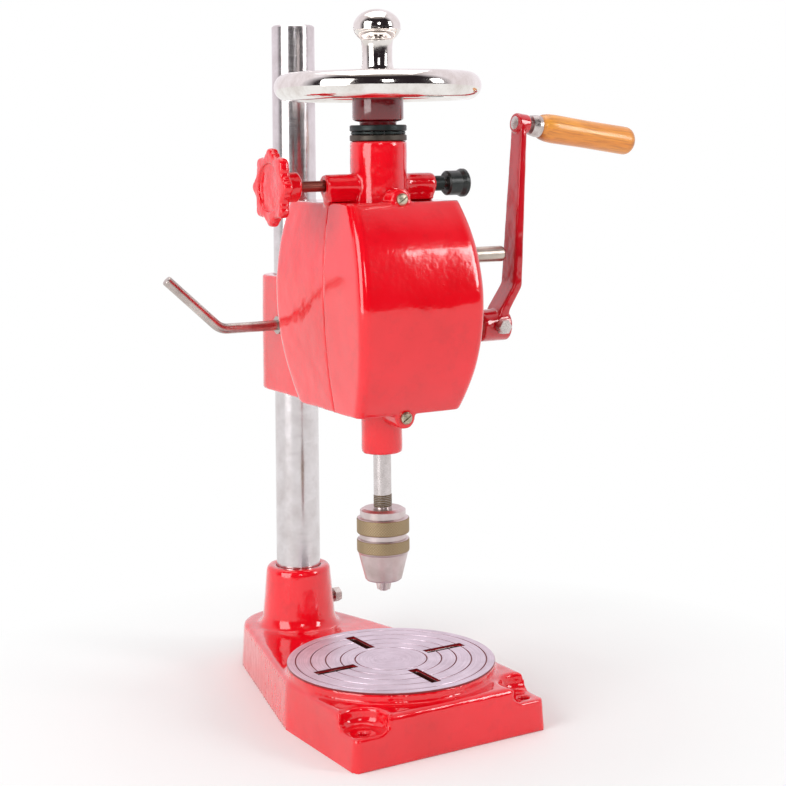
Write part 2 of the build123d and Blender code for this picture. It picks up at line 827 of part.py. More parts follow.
def ball_knob():
    def ball_rise(r):
        return knob_ball_half * sqrt(1 - (r / knob_ball_r) ** 2)

    foot = wheel_boss_top + 0.3
    throat_z = knob_ball_z - ball_rise(knob_neck_r)
    flank_r = (knob_neck_r + 2 * knob_ball_r) / 3
    outline = [
        Polyline(
            (0, foot),
            (knob_foot_r, foot),
            (knob_foot_r, foot + 3),
            (knob_neck_r + 0.4, foot + 8),
            (knob_neck_r - 0.4, throat_z - 6),
            (knob_neck_r, throat_z),
        ),
        Spline(
            (knob_neck_r, throat_z),
            (flank_r, knob_ball_z - ball_rise(flank_r)),
            (knob_ball_r, knob_ball_z),
            (flank_r, knob_ball_z + ball_rise(flank_r)),
            (knob_neck_r, knob_ball_z + ball_rise(knob_neck_r)),
            (knob_neck_r / 2, knob_ball_z + ball_rise(knob_neck_r / 2)),
            (0, knob_ball_z + knob_ball_half),
        ),
        Line((0, knob_ball_z + knob_ball_half), (0, foot)),
    ]
    body = revolve(Plane.XZ * make_face(outline), Axis.Z)
    body -= post(spindle_r + 0.4, foot - 1, spindle_top + 1.6)
    return one(body - post(stud_r + running_gap, foot, knob_ball_z + 6))


# ---------------------------------------------------------------- chuck
def jaw_rod(r, start, length):
    """A rod along the first jaw's slanted axis, from a distance above its tip."""
    rod_ = Pos(0, 0, start + length / 2) * Cylinder(r, length)
    return Pos(jaw_tip_r, 0, jaw_tip_z) * Rot(0, jaw_angle, 0) * rod_


def chuck_body():
    body = turned(
        (0, upper_knurl[0]),
        (knurl_r - 0.6, upper_knurl[0]),
        (knurl_r, upper_knurl[0] + 0.6),
        (knurl_r, upper_knurl[1] - 0.6),
        (knurl_r - 0.6, upper_knurl[1]),
        (chuck_shoulder_r, upper_knurl[1] + 0.6),
        (chuck_shoulder_r, chuck_top - 1.5),
        (chuck_shoulder_r - 2.5, chuck_top),
        (0, chuck_top),
    )
    body += post(core_r, nose_z + 1, upper_knurl[0])
    body -= post(core_r + 1, ring_foot - 1, ring_top + 1) - post(core_r - 2.4, 0, 200)
    body -= post(nose_thread_r + seat_gap, 124, chuck_top + 1)
    for turn in range(3):
        body -= Rot(0, 0, 120 * turn) * jaw_rod(jaw_r + running_gap, -5, jaw_length + 18)
    return one(body)


def chuck_sleeve():
    top = upper_knurl[0] - joint_gap
    body = turned(
        (0, nose_z),
        (nose_r - 1, nose_z),
        (nose_r, nose_z + 1),
        (knurl_r - 0.8, sleeve_knurl[0] - 1.2),
        (knurl_r, sleeve_knurl[0]),
        (knurl_r, sleeve_knurl[1] - 0.5),
        (knurl_r - 0.6, sleeve_knurl[1]),
        (sleeve_groove_r, sleeve_knurl[1] + 0.4),
        (sleeve_groove_r, top),
        (0, top),
    )
    body -= post(core_r + running_gap, nose_z - 1, nose_z + 5)
    cavity = turned(
        (0, nose_z + 4),
        (core_r, nose_z + 4),
        (sleeve_bore_r, ring_foot + 3),
        (sleeve_bore_r, top + 1),
        (0, top + 1),
    )
    return one(body - cavity)


def chuck_ring():
    slope = tan(radians(jaw_angle))
    clear = jaw_r / cos(radians(jaw_angle)) + 0.15

    def bore(z):
        return jaw_tip_r + (z - jaw_tip_z) * slope + clear

    foot = ring_foot + 3.2
    return turned(
        (bore(foot), foot),
        (sleeve_bore_r - seat_gap, foot),
        (sleeve_bore_r - seat_gap, ring_top),
        (bore(ring_top), ring_top),
    )


def chuck_jaw(number):
    body = jaw_rod(jaw_r, 0, jaw_length) & block(-1, 40, -20, 20, jaw_tip_z, 200)
    gap = 0.12
    for side in (-1, 1):
        # the flanks meet the neighbours' at 120 degrees
        body &= Rot(0, 0, side * 60) * block(-40, 40, *sorted((side * -40, side * -gap)), 0, 300)
    body -= block(-1, 0.25, -20, 20, 0, 300)
    return one(Rot(0, 0, 120 * number) * body)


# ---------------------------------------------------------------- spindle lock and plunger
def lock_handwheel():
    half = handwheel_thick / 2
    step = 360 / handwheel_lobes
    plan = Circle(handwheel_r - lobe_r / 2)
    for number in range(handwheel_lobes):
        plan += Rot(0, 0, step * number) * Pos(handwheel_r - lobe_r, 0) * Circle(lobe_r)
    for number in range(handwheel_lobes):
        plan -= Rot(0, 0, step * (number + 0.5)) * Pos(handwheel_r + 0.6, 0) * Circle(lobe_gap_r)
    disc = extrude(plan, handwheel_thick)
    disc = fillet(disc.edges().filter_by(lambda e: abs(e.center().Z - half) > half - 0.1), 2.2)
    disc -= post(handwheel_r - 10.5, -1, 2.2)
    body = Pos(wheel_plane - half, 0, tube_z) * Rot(0, 90, 0) * disc
    hub = turned_x(
        (0, wheel_plane),
        (handwheel_hub_r + 4, wheel_plane + 1),
        (handwheel_hub_r, wheel_plane + half + 3),
        (handwheel_hub_r, handwheel_hub_end - 1.5),
        (handwheel_hub_r - 1.5, handwheel_hub_end),
        (0, handwheel_hub_end),
    )
    body += Pos(0, 0, tube_z) * hub
    return one(body - rod(lock_screw_r + seat_gap, wheel_plane + 1, 0, 0, tube_z))


def lock_screw():
    return one(rod(lock_screw_r, wheel_plane + 1 + seat_gap, shoe_end - running_gap, 0, tube_z))


def brake_shoe():
    body = rod(lock_screw_r - running_gap, shoe_end, shoe_end + shoe_length, 0, tube_z)
    return one(chamfer(body.edges().filter_by(GeomType.CIRCLE), 0.4))


def plunger_pin():
    nose = spindle_r + 0.3
    body = rod(plunger_r, nose, plunger_knob_end - 4, 0, tube_z)
    body = chamfer(body.edges().sort_by(Axis.X)[0], 0.8)
    return one(body + rod(plunger_collar_r, plunger_chamber[0] + 0.3, plunger_chamber[0] + 3, 0, tube_z))


def plunger_spring():
    start = plunger_chamber[0] + 3.2
    end = plunger_chamber[1] - 0.2
    radius = plunger_collar_r - spring_wire_r - 0.2
    length = end - start - 2 * spring_wire_r
    coil = Helix(pitch=length / spring_turns, height=length, radius=radius)
    wire = sweep(Plane(origin=coil @ 0, z_dir=coil % 0) * Circle(spring_wire_r), coil, is_frenet=True)
    return one(Pos(start + spring_wire_r, 0, tube_z) * Rot(0, 90, 0) * wire)


def plunger_bush():
    body = rod(plunger_chamber_r - seat_gap, plunger_chamber[1], tube_half + 1, 0, tube_z)
    body += rod(plunger_bush_r, tube_half + seat_gap, plunger_bush_end, 0, tube_z)
    return one(body - rod(plunger_r + running_gap, 0, 100, 0, tube_z))


def plunger_knob():
    body = turned_x(
        (0, plunger_knob_start),
        (8.0, plunger_knob_start),
        (9.3, plunger_knob_start + 1.3),
        (9.3, plunger_knob_end - 6.5),
        (10.7, plunger_knob_end - 3.5),
        (10.7, plunger_knob_end - 1.2),
        (9.5, plunger_knob_end),
        (0, plunger_knob_end),
    )
    body = Pos(0, 0, tube_z) * body
    return one(body - rod(plunger_r + seat_gap, 0, plunger_knob_end - 4 + seat_gap, 0, tube_z))


# ---------------------------------------------------------------- build
os.makedirs("parts", exist_ok=True)

save("base_casting", base_casting())
save("column", column())
save("column_lock_bolt", column_lock_bolt())

case = rounded_case()
cavity = case_block(case_wall)
save_head("gear_housing", gear_housing(case, cavity))
save_head("front_cover", front_cover(case, cavity))
save_head(
    "cover_screws",
    cover_screw(screw_top_z, ear_front[0], boss_r),
    cover_screw(screw_foot_z, ear_front[1], lower_boss_r),
)
save_head("upper_spindle_bush", upper_spindle_bush())
save_head("lower_spindle_bush", lower_spindle_bush())
save_head("crank_shaft_bush", shaft_bush(crank_z))
save_head("speed_shaft_bush", shaft_bush(speed_z))
save_head("thrust_lower_race", race(boss_top))
save_head("thrust_upper_race", race(upper_race_foot))
save_head("thrust_cage", thrust_cage())
save_head("thrust_balls", *thrust_balls())
save_head("clamp_washer", clamp_washer())
save_head("clamp_lever", clamp_lever())
save_head("spindle", spindle())
save_head("spindle_key", spindle_key())
save_head("bevel_pinion", bevel_pinion())
save_head("bevel_gear", bevel_gear())
save_head("speed_shaft", speed_shaft())
save_head("speed_pinion", speed_pinion())
save_head(
    "speed_shaft_pins",
    gear_pin(speed_z, gear_start - 4, shaft_r + 5.5),
    gear_pin(speed_z, gear_start + speed_pinion_width / 2, 15),
)
save_head("speed_shaft_collar", shaft_collar(speed_z))
save_head("crank_shaft", crank_shaft())
save_head("crank_gear", crank_gear())
save_head("crank_gear_pin", gear_pin(crank_z, gear_start + 6, 12.5))
save_head("crank_shaft_collar", shaft_collar(crank_z))
save_head("crank_arm", crank_arm())
save_head("crank_set_screw", crank_set_screw())
save_head("handle_pin", handle_pin())
save_head("handle_ferrule", handle_ferrule())
save_head("handle_grip", handle_grip())
save_head("flywheel", flywheel())
save_head("wheel_hub", wheel_hub())
save_head("wheel_grub_screw", wheel_grub_screw())
save_head("knob_stud", knob_stud())
save_head("ball_knob", ball_knob())
save_head("chuck_body", chuck_body())
save_head("chuck_sleeve", chuck_sleeve())
save_head("chuck_ring", chuck_ring())
for number in range(3):
    save_head(f"chuck_jaw_{number + 1}", chuck_jaw(number))
save_head("lock_handwheel", lock_handwheel())
save_head("lock_screw", lock_screw())
save_head("brake_shoe", brake_shoe())
save_head("plunger_pin", plunger_pin())
save_head("plunger_spring", plunger_spring())
save_head("plunger_bush", plunger_bush())
save_head("plunger_knob", plunger_knob())
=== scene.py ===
import json
import math

import bmesh
import bpy
from mathutils import Matrix, Vector, noise


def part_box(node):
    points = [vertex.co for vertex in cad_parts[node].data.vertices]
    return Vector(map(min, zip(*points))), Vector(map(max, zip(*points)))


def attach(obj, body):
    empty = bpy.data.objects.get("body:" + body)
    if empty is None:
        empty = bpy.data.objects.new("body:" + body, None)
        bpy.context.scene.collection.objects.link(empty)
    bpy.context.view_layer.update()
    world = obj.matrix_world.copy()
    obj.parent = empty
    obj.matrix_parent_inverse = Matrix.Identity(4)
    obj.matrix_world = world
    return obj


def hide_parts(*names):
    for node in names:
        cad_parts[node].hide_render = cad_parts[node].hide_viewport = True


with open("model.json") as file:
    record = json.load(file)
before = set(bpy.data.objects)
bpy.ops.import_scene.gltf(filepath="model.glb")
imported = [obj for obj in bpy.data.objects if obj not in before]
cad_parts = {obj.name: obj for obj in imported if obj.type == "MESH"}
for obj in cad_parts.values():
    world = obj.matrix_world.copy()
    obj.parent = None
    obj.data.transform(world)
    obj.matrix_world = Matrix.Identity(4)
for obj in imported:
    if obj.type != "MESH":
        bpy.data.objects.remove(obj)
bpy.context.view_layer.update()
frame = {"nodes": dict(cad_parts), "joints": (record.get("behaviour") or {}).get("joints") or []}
nodes = frame["nodes"]
joints = {joint["name"]: joint for joint in frame["joints"]}
mm = 0.001
print("frame loaded:", len(nodes), "nodes")

# ---- the head's own axes, read from the joints
spindleAxis = Vector(joints["spindle_spin"]["pos_m"]) * Vector((1, 1, 0))
columnAxis = Vector(joints["column_swivel"]["pos_m"]) * Vector((1, 1, 0))
crossWay = Vector(joints["crank_spin"]["axis"]).normalized()
headTurn = math.atan2(crossWay.y, crossWay.x)
headPlace = Matrix.Translation(spindleAxis) @ Matrix.Rotation(headTurn, 4, "Z")


# ---- mesh helpers
def finishPiece(name, bm, body, material, sharp=35):
    mesh = bpy.data.meshes.new(name)
    bm.to_mesh(mesh)
    bm.free()
    for polygon in mesh.polygons:
        polygon.use_smooth = True
    mesh.set_sharp_from_angle(angle=math.radians(sharp))
    mesh.materials.append(material)
    piece = bpy.data.objects.new(name, mesh)
    bpy.context.scene.collection.objects.link(piece)
    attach(piece, body)
    return piece


def chain(bm, points):
    made = [bm.verts.new((r * mm, 0, z * mm)) for r, z in points]
    edges = [bm.edges.new(pair) for pair in zip(made, made[1:])]
    return made + edges


def spunShape(points, steps=128):
    # points are (radius, height) in millimetres, spun about Z
    bm = bmesh.new()
    geometry = chain(bm, points)
    bmesh.ops.spin(
        bm, geom=geometry, cent=(0, 0, 0), axis=(0, 0, 1), angle=2 * math.pi, steps=steps, use_merge=True
    )
    bmesh.ops.remove_doubles(bm, verts=bm.verts, dist=0.00001)
    bmesh.ops.recalc_face_normals(bm, faces=bm.faces)
    return bm


def arcPoints(centreR, centreZ, radiusR, radiusZ, start, end, count):
    turns = [math.radians(start + (end - start) * step / count) for step in range(count + 1)]
    return [(centreR + radiusR * math.cos(turn), centreZ + radiusZ * math.sin(turn)) for turn in turns]


def softCopy(node, voxel, rounds, hold=None):
    # a copy of a casting with its edges and corners softened as under thick enamel
    source = bpy.data.objects.new(node + "Copy", nodes[node].data.copy())
    bpy.context.scene.collection.objects.link(source)
    bm = bmesh.new()
    bm.from_mesh(source.data)
    bmesh.ops.remove_doubles(bm, verts=bm.verts, dist=0.000005)
    bm.to_mesh(source.data)
    bm.free()
    remesh = source.modifiers.new("remesh", "REMESH")
    remesh.mode = "VOXEL"
    remesh.voxel_size = voxel * mm
    bpy.context.view_layer.update()
    evaluated = source.evaluated_get(bpy.context.evaluated_depsgraph_get())
    bm = bmesh.new()
    bm.from_mesh(evaluated.to_mesh())
    bpy.data.objects.remove(source)
    soft = [vert for vert in bm.verts if hold is None or not hold(vert.co)]
    for _ in range(rounds):
        bmesh.ops.smooth_vert(
            bm, verts=soft, factor=0.5, use_axis_x=True, use_axis_y=True, use_axis_z=True
        )
    return bm


def lump(bm, sizes, seed=0.0, hold=None):
    # the unevenness of a sand casting: (wavelength, height) pairs in millimetres
    bm.normal_update()
    for vert in bm.verts:
        if hold is not None and hold(vert.co):
            continue
        height = sum(
            tall * mm * noise.noise(vert.co / (wave * mm) + Vector((seed, 0, seed))) for wave, tall in sizes
        )
        vert.co += vert.normal * height


def openBore(bm, centre, radius, reach, low=-1.0, high=1.0):
    # pushes the wall of an upright bore back to its radius
    for vert in bm.verts:
        offset = Vector((vert.co.x - centre.x, vert.co.y - centre.y))
        if low < vert.co.z < high and 0 < offset.length < reach * mm:
            offset *= radius * mm / offset.length if offset.length < radius * mm else 1
            vert.co.x, vert.co.y = centre.x + offset.x, centre.y + offset.y


# ---- material helpers
def addNode(tree, kind, **values):
    node = tree.nodes.new(kind)
    for name, value in values.items():
        if name in node.inputs:
            node.inputs[name].default_value = value
        else:
            setattr(node, name, value)
    return node


def setSockets(node, sockets):
    for name, value in sockets.items():
        node.inputs[name].default_value = value


def newGroup(name, inputs, outputs):
    tree = bpy.data.node_groups.new(name, "ShaderNodeTree")
    for label, kind, default in inputs:
        socket = tree.interface.new_socket(name=label, in_out="INPUT", socket_type=kind)
        if default is not None:
            socket.default_value = default
    for label, kind in outputs:
        tree.interface.new_socket(name=label, in_out="OUTPUT", socket_type=kind)
    return tree, tree.nodes.new("NodeGroupInput"), tree.nodes.new("NodeGroupOutput")


def mathNode(tree, operation, first, second=None, clamp=False):
    node = tree.nodes.new("ShaderNodeMath")
    node.operation = operation
    node.use_clamp = clamp
    for index, value in enumerate((first, second)):
        if value is None:
            continue
        if isinstance(value, (int, float)):
            node.inputs[index].default_value = value
        else:
            tree.links.new(value, node.inputs[index])
    return node.outputs[0]


def radiusOf(tree, x, y):
    squares = [mathNode(tree, "MULTIPLY", side, side) for side in (x, y)]
    return mathNode(tree, "SQRT", mathNode(tree, "ADD", *squares))


def mixColour(tree, factor, first, second, blend="MIX"):
    node = tree.nodes.new("ShaderNodeMix")
    node.data_type = "RGBA"
    node.blend_type = blend
    for socket, value in ((node.inputs[0], factor), (node.inputs[6], first), (node.inputs[7], second)):
        if isinstance(value, bpy.types.NodeSocket):
            tree.links.new(value, socket)
        else:
            socket.default_value = value
    return node.outputs[2]


def noiseOf(tree, vector, scale, detail=2.0, rough=0.5):
    node = addNode(tree, "ShaderNodeTexNoise", Scale=scale, Detail=detail, Roughness=rough)
    tree.links.new(vector, node.inputs["Vector"])
    return node.outputs["Fac"]


def rangeOf(tree, value, low, high, outLow=0.0, outHigh=1.0):
    node = tree.nodes.new("ShaderNodeMapRange")
    for index, number in enumerate((low, high, outLow, outHigh)):
        node.inputs[index + 1].default_value = number
    tree.links.new(value, node.inputs[0])
    return node.outputs[0]


def buildCastSkin():
    # orange peel, dust specks and grime of brushed enamel over a casting
    tree, inside, outside = newGroup(
        "castSkin",
        [
            ("Vector", "NodeSocketVector", None),
            ("Peel", "NodeSocketFloat", 260.0),
            ("Grime", "NodeSocketFloat", 0.5),
        ],
        [("Height", "NodeSocketFloat"), ("Grime", "NodeSocketFloat"), ("Tone", "NodeSocketFloat")],
    )
    vector = inside.outputs["Vector"]
    peel = tree.nodes.new("ShaderNodeTexNoise")
    tree.links.new(vector, peel.inputs["Vector"])
    tree.links.new(inside.outputs["Peel"], peel.inputs["Scale"])
    setSockets(peel, {"Detail": 1.5, "Roughness": 0.4})
    broad = noiseOf(tree, vector, 38.0, 2.0)
    specks = rangeOf(tree, noiseOf(tree, vector, 900.0, 1.0), 0.71, 0.76)
    fine = mathNode(tree, "MULTIPLY", peel.outputs["Fac"], 0.45)
    height = mathNode(tree, "ADD", fine, mathNode(tree, "MULTIPLY", broad, 0.5))
    height = mathNode(tree, "ADD", height, mathNode(tree, "MULTIPLY", specks, 0.3))
    grime = rangeOf(tree, noiseOf(tree, vector, 60.0, 6.0, 0.7), 0.52, 0.74)
    tree.links.new(height, outside.inputs["Height"])
    tree.links.new(mathNode(tree, "MULTIPLY", grime, inside.outputs["Grime"]), outside.inputs["Grime"])
    tree.links.new(noiseOf(tree, vector, 14.0, 3.0), outside.inputs["Tone"])
    return tree


def buildTurnedLines():
    # fine tool lines running round an axis along the vector's Z
    tree, inside, outside = newGroup(
        "turnedLines",
        [("Vector", "NodeSocketVector", None), ("Scale", "NodeSocketFloat", 2500.0)],
        [("Lines", "NodeSocketFloat"), ("Stain", "NodeSocketFloat")],
    )
    split = tree.nodes.new("ShaderNodeSeparateXYZ")
    tree.links.new(inside.outputs["Vector"], split.inputs[0])
    x, y, z = split.outputs
    radius = radiusOf(tree, x, y)
    angle = mathNode(tree, "MULTIPLY", mathNode(tree, "ARCTAN2", y, x), 0.0008)
    joined = tree.nodes.new("ShaderNodeCombineXYZ")
    for socket, value in zip(joined.inputs, (radius, z, angle)):
        tree.links.new(value, socket)
    lines = tree.nodes.new("ShaderNodeTexNoise")
    tree.links.new(joined.outputs[0], lines.inputs["Vector"])
    tree.links.new(inside.outputs["Scale"], lines.inputs["Scale"])
    setSockets(lines, {"Detail": 3.0, "Roughness": 0.6})
    tree.links.new(lines.outputs["Fac"], outside.inputs["Lines"])
    tree.links.new(noiseOf(tree, inside.outputs["Vector"], 55.0, 5.0, 0.6), outside.inputs["Stain"])
    return tree


castSkin = buildCastSkin()
turnedLines = buildTurnedLines()


def newMaterial(name, sockets):
    material = bpy.data.materials.new(name)
    material.use_nodes = True
    tree = material.node_tree
    shader = tree.nodes["Principled BSDF"]
    setSockets(shader, sockets)
    place = tree.nodes.new("ShaderNodeTexCoord").outputs["Object"]
    return material, tree, shader, place


def bumpInto(tree, shader, height, depth, strength=1.0):
    bump = addNode(tree, "ShaderNodeBump", Strength=strength, Distance=depth)
    tree.links.new(height, bump.inputs["Height"])
    tree.links.new(bump.outputs[0], shader.inputs["Normal"])


def localPlace(tree, place, location, rotation):
    # coordinates in a piece's own axes
    mapping = tree.nodes.new("ShaderNodeMapping")
    mapping.vector_type = "TEXTURE"
    mapping.inputs["Location"].default_value = location
    mapping.inputs["Rotation"].default_value = rotation
    tree.links.new(place, mapping.inputs["Vector"])
    return mapping.outputs[0]


def groupNode(tree, group, vector, **values):
    node = tree.nodes.new("ShaderNodeGroup")
    node.node_tree = group
    tree.links.new(vector, node.inputs["Vector"])
    setSockets(node, values)
    return node


enamelValues = {
    "bright": (0.8, 0.002, 0.012, 1),
    "deep": (0.68, 0.001, 0.006, 1),
    "grime": (0.14, 0.002, 0.004, 1),
    # near-black colour inside the hollow and the slots: painted shade, and the bare undercoated casting
    "hollowShadeAndPrimer": (0.06, 0.012, 0.01, 1),
    "shadedHollowRadius": 68.0,
    "shadedHollowTop": 39.7,
    "roughness": (0.07, 0.16),
    "peelDepth": 0.00022,
}


def enamel(name, bright=None, deep=None, grime=0.16, depth=1.0):
    material, tree, shader, place = newMaterial(
        name, {"Specular IOR Level": 0.5, "Coat Weight": 0.7, "Coat Roughness": 0.05}
    )
    skin = groupNode(tree, castSkin, place, Grime=grime)
    tone = rangeOf(tree, skin.outputs["Tone"], 0.35, 0.65)
    colour = mixColour(tree, tone, deep or enamelValues["deep"], bright or enamelValues["bright"])
    colour = mixColour(tree, skin.outputs["Grime"], colour, enamelValues["grime"])
    tree.links.new(colour, shader.inputs["Base Color"])
    low, high = enamelValues["roughness"]
    tree.links.new(rangeOf(tree, skin.outputs["Tone"], 0.3, 0.7, low, high), shader.inputs["Roughness"])
    bumpInto(tree, shader, skin.outputs["Height"], enamelValues["peelDepth"] * depth)
    return material


def baseEnamel():
    # inside the slots and the hollow the casting is coloured near black: painted shade, and the bare
    # undercoated casting
    material = enamel("baseEnamel")
    tree = material.node_tree
    shader = tree.nodes["Principled BSDF"]
    link = shader.inputs["Base Color"].links[0]
    place = tree.nodes["Texture Coordinate"].outputs["Object"]
    split = tree.nodes.new("ShaderNodeSeparateXYZ")
    tree.links.new(place, split.inputs[0])
    x, y, z = split.outputs
    radius = radiusOf(tree, x, y)
    within = mathNode(tree, "LESS_THAN", radius, enamelValues["shadedHollowRadius"] * mm)
    below = mathNode(tree, "LESS_THAN", z, enamelValues["shadedHollowTop"] * mm)
    hollowShade = mathNode(tree, "MULTIPLY", within, below)
    colour = mixColour(tree, hollowShade, link.from_socket, enamelValues["hollowShadeAndPrimer"])
    tree.links.new(colour, shader.inputs["Base Color"])
    return material


def turnedSteel(
    name, light, dark, roughness=(0.2, 0.4), location=(0, 0, 0), rotation=(0, 0, 0),
    scale=2500.0, depth=0.00003,
):
    material, tree, shader, place = newMaterial(name, {"Metallic": 1.0})
    lines = groupNode(tree, turnedLines, localPlace(tree, place, location, rotation), Scale=scale)
    stain = rangeOf(tree, lines.outputs["Stain"], 0.35, 0.7)
    colour = mixColour(tree, stain, light, dark)
    tree.links.new(colour, shader.inputs["Base Color"])
    tree.links.new(rangeOf(tree, lines.outputs["Lines"], 0.3, 0.7, *roughness), shader.inputs["Roughness"])
    bumpInto(tree, shader, lines.outputs["Lines"], depth)
    return material


def spindlePlace(z=0.0):
    return (spindleAxis.x, spindleAxis.y, z)


crossTurn = (0, math.pi / 2, headTurn)  # from an upright axis to the shafts' own

redEnamel = enamel("redEnamel")
# the base's enamel, with painted shade inside the hollow
baseEnamelWithHollowShade = baseEnamel()
# a darker copy of the red enamel for the wheel hub: painted shade from under the wheel, with more grime
shadedHubEnamel = enamel("shadedRedEnamel", (0.2, 0.004, 0.008, 1), (0.1, 0.002, 0.004, 1), 0.6)
armEnamel = enamel("armEnamel", (0.62, 0.006, 0.016, 1), (0.42, 0.003, 0.008, 1), 0.25, 0.7)
columnSteel = turnedSteel(
    "columnSteel", (0.74, 0.7, 0.71, 1), (0.6, 0.55, 0.55, 1), (0.16, 0.26), tuple(columnAxis),
    scale=1800.0, depth=0.000012,
)
spindleSteel = turnedSteel(
    "spindleSteel", (0.72, 0.66, 0.66, 1), (0.45, 0.4, 0.38, 1), (0.2, 0.34), spindlePlace()
)
chuckSteel = turnedSteel(
    "chuckSteel", (0.7, 0.6, 0.6, 1), (0.52, 0.43, 0.41, 1), (0.28, 0.42), spindlePlace()
)
shaftSteel = turnedSteel(
    "shaftSteel", (0.66, 0.58, 0.5, 1), (0.4, 0.34, 0.3, 1), (0.24, 0.4), spindlePlace(), crossTurn
)
leverSteel = turnedSteel(
    "leverSteel", (0.62, 0.56, 0.52, 1), (0.36, 0.3, 0.28, 1), (0.22, 0.38), spindlePlace(), crossTurn
)
boltSteel = turnedSteel("boltSteel", (0.7, 0.64, 0.62, 1), (0.4, 0.34, 0.32, 1), (0.2, 0.42), scale=900.0)
screwSteel = turnedSteel(
    "screwSteel", (0.62, 0.55, 0.42, 1), (0.3, 0.24, 0.16, 1), (0.25, 0.5), scale=900.0
)
raceSteel = turnedSteel(
    "raceSteel", (0.05, 0.06, 0.06, 1), (0.02, 0.022, 0.02, 1), (0.3, 0.5), spindlePlace()
)
lowerRaceSteel = turnedSteel(
    "lowerRaceSteel", (0.12, 0.1, 0.085, 1), (0.04, 0.035, 0.03, 1), (0.35, 0.55), spindlePlace()
)
bushBronze = turnedSteel(
    "bushBronze", (0.62, 0.42, 0.16, 1), (0.4, 0.26, 0.1, 1), (0.25, 0.45), spindlePlace()
)
gearIron = turnedSteel(
    "gearIron", (0.36, 0.35, 0.34, 1), (0.2, 0.19, 0.18, 1), (0.35, 0.55), spindlePlace(), crossTurn
)
stainedRod = turnedSteel(
    "stainedRod", (0.3, 0.09, 0.07, 1), (0.14, 0.02, 0.02, 1), (0.22, 0.4), spindlePlace(), crossTurn
)


def chromePlate():
    material, tree, shader, place = newMaterial("chromePlate", {"Metallic": 1.0})
    smear = noiseOf(tree, place, 45.0, 5.0, 0.65)
    colour = mixColour(tree, rangeOf(tree, smear, 0.4, 0.7), (0.86, 0.83, 0.8, 1), (0.66, 0.6, 0.56, 1))
    tree.links.new(colour, shader.inputs["Base Color"])
    tree.links.new(rangeOf(tree, smear, 0.35, 0.75, 0.05, 0.16), shader.inputs["Roughness"])
    bumpInto(tree, shader, noiseOf(tree, place, 90.0, 2.0), 0.00008)
    return material


def knobPlastic():
    material, tree, shader, place = newMaterial("knobPlastic", {"Specular IOR Level": 0.5})
    dust = rangeOf(tree, noiseOf(tree, place, 240.0, 6.0, 0.7), 0.5, 0.75)
    colour = mixColour(tree, dust, (0.008, 0.012, 0.011, 1), (0.03, 0.035, 0.033, 1))
    tree.links.new(colour, shader.inputs["Base Color"])
    tree.links.new(rangeOf(tree, dust, 0, 1, 0.28, 0.45), shader.inputs["Roughness"])
    bumpInto(tree, shader, noiseOf(tree, place, 500.0, 3.0), 0.00006)
    return material


chrome = chromePlate()
blackPlastic = knobPlastic()
print("materials ready")


# ---- machined table on the base
tableValues = {
    "radius": 76.2,
    "top": 41.5,
    "thickness": 1.4,
    "edge": 0.5,
    "rings": [26.3, 37.1, 47.9, 58.9, 69.9],
    "ringWidth": 1.1,
    "ringDepth": 0.7,
    "slotCentre": 46.0,
    "slotLength": 33.0,
    "slotWidth": 8.0,
}


def tableMaterial():
    # turned face with red enamel left in the rings and the slots
    material, tree, shader, place = newMaterial("turnedTable", {})
    lines = groupNode(tree, turnedLines, place, Scale=2200.0)
    split = tree.nodes.new("ShaderNodeSeparateXYZ")
    tree.links.new(place, split.inputs[0])
    x, y, z = split.outputs
    radius = radiusOf(tree, x, y)
    faceZ = (tableValues["top"] - 0.22) * mm
    bare = mathNode(tree, "GREATER_THAN", z, faceZ)
    inner = mathNode(tree, "LESS_THAN", radius, (tableValues["radius"] - 0.25) * mm)
    bare = mathNode(tree, "MULTIPLY", bare, inner)
    stain = rangeOf(tree, lines.outputs["Stain"], 0.3, 0.75)
    steel = mixColour(tree, stain, (0.84, 0.72, 0.82, 1), (0.62, 0.51, 0.59, 1))
    scored = rangeOf(tree, lines.outputs["Lines"], 0.35, 0.7, 0, 0.4)
    steel = mixColour(tree, scored, steel, (0.36, 0.27, 0.33, 1))
    paint = mixColour(tree, noiseOf(tree, place, 120.0, 3.0), (0.3, 0.006, 0.01, 1), (0.12, 0.006, 0.008, 1))
    tree.links.new(mixColour(tree, bare, paint, steel), shader.inputs["Base Color"])
    tree.links.new(mathNode(tree, "MULTIPLY", bare, 0.75), shader.inputs["Metallic"])
    tree.links.new(rangeOf(tree, lines.outputs["Lines"], 0.3, 0.7, 0.3, 0.46), shader.inputs["Roughness"])
    bumpInto(tree, shader, lines.outputs["Lines"], 0.00004)
    return material


